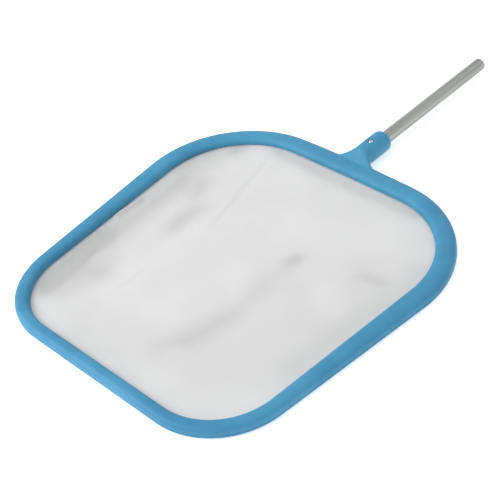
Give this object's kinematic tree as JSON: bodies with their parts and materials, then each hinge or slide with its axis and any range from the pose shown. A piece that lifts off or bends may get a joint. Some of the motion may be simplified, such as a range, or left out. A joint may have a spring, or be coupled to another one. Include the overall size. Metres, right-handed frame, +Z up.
{
  "type": "leaf skimmer net",
  "caption": "Flat leaf skimmer net: a rounded square moulded rim holds a fine mesh sheet, and a socket with spring snap buttons holds a short round tube.",
  "frame": {"origin": "on the plane that the skimmer lies on, under the middle of its overall length and width", "axes": "+Y from the rim's front edge towards the tube's end, +X across the rim, +Z up from the surface it lies on"},
  "size_m": [0.4226, 0.662, 0.0265],
  "materials": {
    "blue_plastic": "moulded, satin",
    "net_fabric": "fine woven mesh",
    "cord_fabric": "braided",
    "tube_aluminium": "brushed along its length",
    "clip_steel": "polished spring steel",
    "screw_steel": "plain stainless"
  },
  "bodies": {
    "frame": {"upper_frame": "blue_plastic", "clamping_ring": "blue_plastic", "net": "net_fabric", "net_edge_cord": "cord_fabric", "pole_tube": "tube_aluminium", "spring_clip": "clip_steel", "ring_screw_01": "screw_steel", "ring_screw_02": "screw_steel", "ring_screw_03": "screw_steel", "ring_screw_04": "screw_steel", "ring_screw_05": "screw_steel", "ring_screw_06": "screw_steel", "ring_screw_07": "screw_steel", "ring_screw_08": "screw_steel", "ring_screw_09": "screw_steel", "ring_screw_10": "screw_steel", "ring_screw_11": "screw_steel", "ring_screw_12": "screw_steel"},
    "top_button": {"snap_button_top": "clip_steel"},
    "bottom_button": {"snap_button_bottom": "clip_steel"}
  },
  "joints": [
    {"name": "top_button_press", "type": "slide", "parent": "frame", "child": "top_button", "axis": [0, 0, -1], "range_m": [0, 0.0041], "stiffness_N_per_m": 1500, "deforming": ["spring_clip"]},
    {"name": "bottom_button_press", "type": "slide", "parent": "frame", "child": "bottom_button", "axis": [0, 0, 1], "range_m": [0, 0.0041], "stiffness_N_per_m": 1500, "deforming": ["spring_clip"]}
  ]
}
